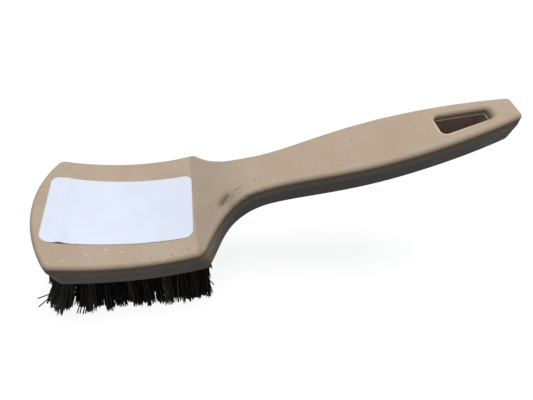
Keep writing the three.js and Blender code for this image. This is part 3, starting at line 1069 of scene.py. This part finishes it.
            # Painted shade on the top edge's rounding, growing as it turns down.
            if level is Level.TOP:
                vert[toned] = self.tone((self.side.top(flat_x) - vert.co.z) / self.top_edge.radius)
        openings = (upper, self.slot_rim, self.side.top), (lower, 0.0, self.side.under)
        for ring, grow, height in openings:
            for vert, point in zip(ring, self.slot_outline(grow)):
                vert.co = (*point, height(point.x))
        self.swell(bm)
        self.line_slot(bm, upper, lower)
        self.bend(bm)
        bmesh.ops.recalc_face_normals(bm, faces=bm.faces[:])
        shade_smooth(bm, self.crisp_angle)
        piece = piece_from(bm, "moulded_block", self.finish.material(), Slot.BLOCK, "handle_block")
        even = piece.modifiers.new("even_normals", "WEIGHTED_NORMAL")
        even.keep_sharp = True
        return piece


@dataclass
class PaperLabel:
    """The label: a rounded sheet laid in the dish, buckled across near its front end."""

    finish: LabelStock
    side: SideProfile = field(default_factory=SideProfile)
    length: float = 68.4
    width: float = 38.6
    corner: float = 4.0
    setback: float = 2.5
    offset: float = -0.8
    turn: float = -2.4
    lift: float = 0.22
    thickness: float = 0.12
    pitch: float = 1.2
    corner_steps: int = 7
    crisp_angle: float = 50.0
    buckle_place: float = -26.4
    buckle_slant: float = 0.034
    buckle_width: float = 1.8
    buckle_height: float = 0.22
    buckle_mouth: float = 0.75
    mouth_reach: float = 3.0
    far_mouth: float = 0.4
    ripple: float = 0.06
    ripple_rate: tuple[float, float] = (0.09, 0.12)

    def waves(self, u: float, v: float) -> float:
        """Height of the buckle across the paper, open at both edges, and of its faint ripples.

        Args:
            u: Place along the label from its middle.
            v: Place across the label from its middle.

        Returns:
            The height over the smooth dish.
        """
        across = (u - self.buckle_place + self.buckle_slant * v) / self.buckle_width
        near, far = (math.exp(-(self.width / 2 + w) / self.mouth_reach) for w in (v, -v))
        mouth = self.buckle_mouth * (near + self.far_mouth * far)
        ripple = self.ripple * noise.noise((u * self.ripple_rate[0], v * self.ripple_rate[1], 0))
        return (self.buckle_height + mouth) * math.exp(-(across**2)) + ripple

    def build(self) -> Object:
        """Models the label and dresses it.

        Returns:
            The piece.
        """
        bm = bmesh.new()
        bmesh.ops.create_grid(bm, x_segments=1, y_segments=1, size=0.5)
        bmesh.ops.scale(bm, vec=(self.length, self.width, 1), verts=bm.verts[:])
        round_corners(bm, bm.verts[:], self.corner, self.corner_steps)
        for axis, extent in ((0, self.length), (1, self.width)):
            normal = Vector((1 - axis, axis, 0))
            for i in range(1, int(extent / self.pitch)):
                slice_across(bm, normal * (i * self.pitch - extent / 2), normal)
        middle = Vector((self.side.head_back - self.setback - self.length / 2, self.offset, 0))
        seat = Matrix.Translation(middle) @ Matrix.Rotation(math.radians(self.turn), 4, "Z")
        for vert in bm.verts:
            rise = self.lift + self.waves(vert.co.x, vert.co.y)
            vert.co = seat @ vert.co
            vert.co.z = self.side.top(vert.co.x) + rise
        bmesh.ops.solidify(bm, geom=bm.faces[:], thickness=-self.thickness)
        bmesh.ops.recalc_face_normals(bm, faces=bm.faces[:])
        shade_smooth(bm, self.crisp_angle)
        return piece_from(bm, "label_sheet", self.finish.material(), Slot.LABEL, "paper_label")


@dataclass(frozen=True)
class Tuft:
    """One tuft: its root and way down, how its tips lean, how short they are, its painted light as extra
    brown, its seed.
    """

    root: Vector
    down: Vector
    lean: Vector
    short: float
    # painted light: extra brown share for a lit tuft
    brown: float
    seed: int


@dataclass(frozen=True)
class Lock:
    """Fibres that cling together: place across the tuft, drift, height of the tips, and shade: own brown
    with painted shade and light.
    """

    place: Vector
    drift: Vector
    cut: float
    shade: float


@dataclass(frozen=True)
class Stray:
    """A fibre bent out of its tuft: where its curve starts, what it bends towards, and where it ends."""

    root: Vector
    bend: Vector
    tip: Vector


STRAYS = tuple(
    Stray(*map(Vector, places))
    for places in (
        ((-30.0, -27.5, 30.0), (-36.0, -30.5, 18.5), (-44.4, -32.0, 16.7)),
        ((-30.5, -27.0, 30.0), (-36.5, -30.5, 18.0), (-46.5, -32.0, 7.8)),
        ((-29.5, -27.5, 30.0), (-34.5, -30.5, 19.0), (-40.6, -32.0, 12.6)),
        ((-29.0, -27.5, 30.0), (-33.5, -30.5, 18.5), (-39.4, -32.0, 12.2)),
        ((-29.0, -27.0, 30.0), (-34.0, -30.0, 14.0), (-39.6, -32.0, 7.6)),
        ((-28.5, -27.0, 30.0), (-33.0, -30.0, 12.0), (-38.0, -32.5, 3.4)),
        ((-21.5, -27.5, 30.0), (-26.0, -32.0, 12.0), (-30.0, -35.0, 1.6)),
        ((-21.0, -27.5, 30.0), (-25.0, -32.0, 12.0), (-28.8, -35.0, 0.6)),
        ((-21.0, -28.0, 30.0), (-24.0, -32.5, 11.0), (-27.4, -35.2, 0.4)),
        ((-20.0, -28.0, 30.0), (-23.0, -32.5, 11.0), (-26.2, -35.2, 0.4)),
        ((32.0, -27.0, 32.0), (34.5, -29.5, 20.0), (39.9, -32.0, 11.3)),
        ((31.0, -27.0, 32.0), (32.0, -30.0, 12.0), (36.6, -33.0, 0.4)),
    )
)


@dataclass
class TuftRows:
    """Tufts of one CAD strip as thousands of single fibres."""

    name: str
    node: str
    rows: tuple[float, ...]
    locks: int = 24
    strays: tuple[Stray, ...] = ()
    side: SideProfile = field(default_factory=SideProfile)
    columns: int = 8
    seed_step: int = 97
    row_pitch: float = 10.4
    first_x: float = -33.35
    last_x: float = 31.96
    lock_fibres: int = 10
    lock_spread: tuple[float, float] = (1.0, 0.9)
    lock_size: float = 0.10
    lock_drift: float = 0.5
    root_radii: tuple[float, float] = (3.0, 2.5)
    tip_radii: tuple[float, float] = (5.9, 5.2)
    flare: float = 0.6
    edge_short: float = 1.0
    rooted: float = 3.0
    thick: tuple[float, float] = (0.17, 0.30)
    side_splay: float = 0.16
    front_pull: float = 0.0
    pull_columns: float = 1.7
    front_short: float = 0.0
    short_columns: float = 1.5
    # Painted light on the end column's fibres.
    front_painted_light: float = 0.5
    back_draw: float = 0.17
    parted: tuple[int, ...] = (0, 4)
    parting_width: float = 0.8
    set_in: float = 2.0
    ragged: float = 1.1
    longest_cut: float = 6.0
    cut_scatter: float = 0.2
    tip_scatter: float = 0.25
    brown_spread: tuple[float, float] = (1.3, 2.0)
    brown_power: float = 1.4
    brown_scatter: float = 0.16
    side_painted_shade: float = 1.7
    wave: float = 0.30
    beats: tuple[float, float] = (1.0, 2.6)
    stray_thick: float = 1.3
    stray_shade: float = 0.3
    rings: int = 9
    sides: int = 3

    def tufts(self) -> list[Tuft]:
        """Places of the tufts, along the arc of the underside.

        Returns:
            The tufts, row by row.
        """
        radius = self.side.under_radius
        first, last = (math.asin(x / radius) for x in (self.first_x, self.last_x))
        found = []
        for row in self.rows:
            for column in range(self.columns):
                angle = first + (last - first) * column / (self.columns - 1)
                down = Vector((math.sin(angle), 0, -math.cos(angle)))
                root = Vector((0, row * self.row_pitch, self.side.axis_height)) + down * radius
                pull = -self.front_pull * max(0.0, 1 - column / self.pull_columns)
                pull -= self.back_draw * max(root.x, 0)
                apart = self.parting_width * ((column - 1 in self.parted) - (column in self.parted))
                lean = Vector((pull + apart, self.side_splay * root.y, 0))
                short = self.front_short * max(0.0, 1 - column / self.short_columns)
                # Painted light: the end column's fibres are lightened as the lit end of the brush.
                brown = self.front_painted_light if column == 0 else 0.0
                seed = int(self.seed_step * (row + 3)) + column
                found.append(Tuft(root, down, lean, short, brown, seed))
        return found

    def post(self) -> Mesh:
        """One plain fibre, a short post of a few rings.

        Returns:
            The mesh that each fibre is bent from.
        """
        bm = bmesh.new()
        bmesh.ops.create_circle(bm, cap_ends=True, segments=self.sides, radius=1)
        cap = bm.faces[:]
        for _ in range(self.rings - 1):
            cap = raise_cap(bm, cap, -1)
        bmesh.ops.recalc_face_normals(bm, faces=bm.faces[:])
        for face in bm.faces:
            face.smooth = abs(face.normal.z) < 0.5
        mesh = bpy.data.meshes.new("fibre_post")
        bm.to_mesh(mesh)
        bm.free()
        mesh.attributes.new(Mark.SHADE.value, "FLOAT", "POINT")
        return mesh

    def lock(self, tuft: Tuft, dice: random.Random) -> Lock:
        """Draws one lock of a tuft, darkened by painted shade and cut shorter towards the tuft's sides.

        Args:
            tuft: The tuft that it belongs to.
            dice: Source of its scatter.

        Returns:
            The lock.
        """
        place = Vector((*(dice.uniform(-reach, reach) for reach in self.lock_spread), 0))
        inwards = -math.copysign(self.set_in, tuft.root.y) * place.x**2
        drift = Vector((dice.gauss(0, self.lock_drift), dice.gauss(0, self.lock_drift) + inwards, 0))
        cut = tuft.short + abs(dice.gauss(0, self.ragged)) + self.edge_short * abs(place.x) ** 3
        shade = dice.betavariate(*self.brown_spread) ** self.brown_power
        # Painted shade: locks at the tuft's sides are darkened so that the gaps between tufts read dark.
        shade *= max(0.0, 1 - self.side_painted_shade * place.x**2)
        return Lock(place, drift, min(cut, self.longest_cut), shade + tuft.brown)

    def path(self, tuft: Tuft, lock: Lock, dice: random.Random) -> list[Vector]:
        """Middle line of one fibre, from inside its hole to its cut tip.

        Args:
            tuft: The tuft that it belongs to.
            lock: The lock that it clings to.
            dice: Source of its scatter.

        Returns:
            One point for each ring.
        """
        place = lock.place + Vector((dice.gauss(0, self.lock_size), dice.gauss(0, self.lock_size), 0))
        start = tuft.root - tuft.down * self.rooted
        stray = Vector((dice.gauss(0, self.tip_scatter), dice.gauss(0, self.tip_scatter), 0))
        tip = tuft.root + tuft.down * (tuft.root.z / -tuft.down.z) + tuft.lean + lock.drift + stray
        cut = max(lock.cut + dice.gauss(0, self.cut_scatter), 0)
        tip = tuft.root.lerp(tip, 1 - cut / tuft.root.z)
        turn, phase = dice.uniform(0, FULL_TURN), dice.uniform(0, FULL_TURN)
        beats = dice.uniform(*self.beats)
        points = []
        for i in range(self.rings):
            share = i / (self.rings - 1)
            fan = [a + (b - a) * share**self.flare for a, b in zip(self.root_radii, self.tip_radii)]
            swing = math.sin(phase + beats * 2 * math.pi * share) - math.sin(phase)
            crimp = self.wave * swing * min(1, 2 * share)
            x = place.x * fan[0] + crimp * math.cos(turn)
            y = place.y * fan[1] + crimp * math.sin(turn)
            points.append(start.lerp(tip, share) + Vector((x, y, 0)))
        return points

    def lines(self) -> list[tuple[list[Vector], float, float]]:
        """Draws every fibre of the strip.

        Returns:
            Each fibre's middle line, radius and shade.
        """
        found = []
        for tuft in self.tufts():
            dice = random.Random(tuft.seed)
            for _ in range(self.locks):
                lock = self.lock(tuft, dice)
                for _ in range(self.lock_fibres):
                    shade = min(max(lock.shade + dice.gauss(0, self.brown_scatter), 0.0), 1.0)
                    found.append((self.path(tuft, lock, dice), dice.uniform(*self.thick), shade))
        for stray in self.strays:
            line = interpolate_bezier(stray.root, stray.bend, stray.bend, stray.tip, self.rings)
            found.append((line, self.stray_thick * self.thick[1], self.stray_shade))
        return found

    def build(self, material: Material) -> Object:
        """Models the fibres and dresses them.

        Args:
            material: Finish of the fibres.

        Returns:
            The piece.
        """
        post = self.post()
        base = [v.co.copy() for v in post.vertices]
        bm = bmesh.new()
        for number, (line, radius, shade) in enumerate(self.lines()):
            spin = Matrix.Rotation(number, 3, "Z") * radius
            coords = []
            for co in base:
                coords.extend(line[round(-co.z)] + spin @ Vector((co.x, co.y, 0)))
            post.vertices.foreach_set("co", coords)
            post.attributes[Mark.SHADE.value].data.foreach_set("value", [shade] * len(base))
            bm.from_mesh(post)
        bpy.data.meshes.remove(post)
        return piece_from(bm, self.name, material, Slot.FIBRE, self.node)


@dataclass(frozen=True)
class Studio:
    """Pale floor, soft overhead light and the photograph's camera."""

    camera_place: Triple = (-45.64, -128.13, 211.26)
    camera_right: Triple = (0.97591, -0.1776, 0.12643)
    camera_down: Triple = (-0.06499, -0.7906, -0.60887)
    focal_pixels: float = 405.0
    sensor: float = 36.0
    frame_rise: float = 0.5  # pixels
    near_clip: float = 0.01
    floor_half: float = 4.0
    floor_glow: float = 0.90
    floor_pale: float = 0.16
    floor_bounce: float = 0.05
    backdrop: Colour = (1.0, 1.0, 1.0)
    fill: Colour = (0.101, 0.132, 0.176)
    key_place: Triple = (0.10, 0.35, 2.13)
    key_size: float = 0.90
    key_power: float = 40.7
    key_colour: Colour = (1.0, 0.97, 0.92)

    def camera(self) -> None:
        """Sets the camera where the photograph was taken from."""
        right, down = Vector(self.camera_right).normalized(), Vector(self.camera_down).normalized()
        back = right.cross(-down).normalized()
        turn = Matrix((right, back.cross(right), back)).transposed().to_4x4()
        data = bpy.data.cameras.new("photo_camera")
        data.sensor_width = self.sensor
        data.lens = self.focal_pixels / PHOTO_WIDTH * self.sensor
        data.shift_y = self.frame_rise / PHOTO_WIDTH
        data.clip_start = self.near_clip
        camera = bpy.data.objects.new("photo_camera", data)
        camera.matrix_world = Matrix.Translation(Vector(self.camera_place) * MM) @ turn
        bpy.context.scene.collection.objects.link(camera)
        bpy.context.scene.camera = camera

    def floor(self) -> None:
        """Lays a pale floor that looks white and keeps the brush's shadow."""
        bm = bmesh.new()
        bmesh.ops.create_grid(bm, x_segments=1, y_segments=1, size=self.floor_half)
        graph = Graph(bpy.data.materials.new("studio_floor"))
        glow = graph.wired("Emission", {"Strength": self.floor_glow})
        pale, bounce = (
            graph.wired("BsdfDiffuse", {"Color": (grey,) * 3})
            for grey in (self.floor_pale, self.floor_bounce)
        )
        shown = graph.wired("AddShader", {0: glow, 1: pale})
        graph.output(graph.wired("MixShader", {0: graph.seen(), 1: bounce, 2: shown}))
        object_from(bm, "studio_floor", graph.owner)

    def world(self) -> None:
        """Sets a white backdrop and a low, even fill."""
        graph = Graph(bpy.data.worlds.new("studio_world"))
        white, fill = (
            graph.wired("Background", {"Color": colour}) for colour in (self.backdrop, self.fill)
        )
        mixed = graph.wired("MixShader", {0: graph.seen(), 1: fill, 2: white})
        graph.output(mixed, "ShaderNodeOutputWorld")
        bpy.context.scene.world = graph.owner

    def key(self) -> None:
        """Hangs one large soft lamp above and behind the brush."""
        data = bpy.data.lights.new("soft_key", "AREA")
        data.shape = "SQUARE"
        data.size = self.key_size
        data.energy = self.key_power
        data.color = self.key_colour
        lamp = bpy.data.objects.new("soft_key", data)
        place = Vector(self.key_place)
        lamp.matrix_world = Matrix.Translation(place) @ place.to_track_quat("Z", "Y").to_matrix().to_4x4()
        bpy.context.scene.collection.objects.link(lamp)

    def build(self) -> None:
        """Sets up camera, floor, backdrop and light."""
        bpy.context.scene.view_settings.view_transform = "Standard"
        self.camera()
        self.floor()
        self.world()
        self.key()


def dress_anchors(finish: AnchorSteel) -> None:
    """Gives the CAD's wire anchors their finish.

    Args:
        finish: The wire's finish.
    """
    material = finish.material()
    anchors = [node for name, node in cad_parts.items() if name.startswith("tuft_anchor")]
    for node in anchors:
        node.data.materials.clear()
        node.data.materials.append(material)
    LOG.info("tuft anchors: %d nodes", len(anchors))


def main() -> None:
    """Builds the studio and the brush."""
    logging.basicConfig(level=logging.INFO, format="%(name)s: %(message)s")
    Studio().build()
    HandleBlock(MouldedPlastic()).build()
    PaperLabel(LabelStock()).build()
    fibre = PlantFibre().material()
    outer = {"locks": 42, "first_x": -28.64, "front_pull": 2.9, "front_short": 0.9, "back_draw": 0.22}
    inner = {"front_pull": -1.0, "front_short": 1.5, "tip_radii": (5.5, 5.2)}
    for rows in (
        TuftRows("near_outer_tufts", "front_outer_bristles", (-2.5,), strays=STRAYS, **outer),
        TuftRows("near_inner_tufts", "front_inner_bristles", (-1.5, -0.5), **inner),
        TuftRows("far_inner_tufts", "rear_inner_bristles", (0.5, 1.5), **inner),
        TuftRows("far_outer_tufts", "rear_outer_bristles", (2.5,), **outer),
    ):
        rows.build(fibre)
    dress_anchors(AnchorSteel())


if __name__ == "__main__":
    main()
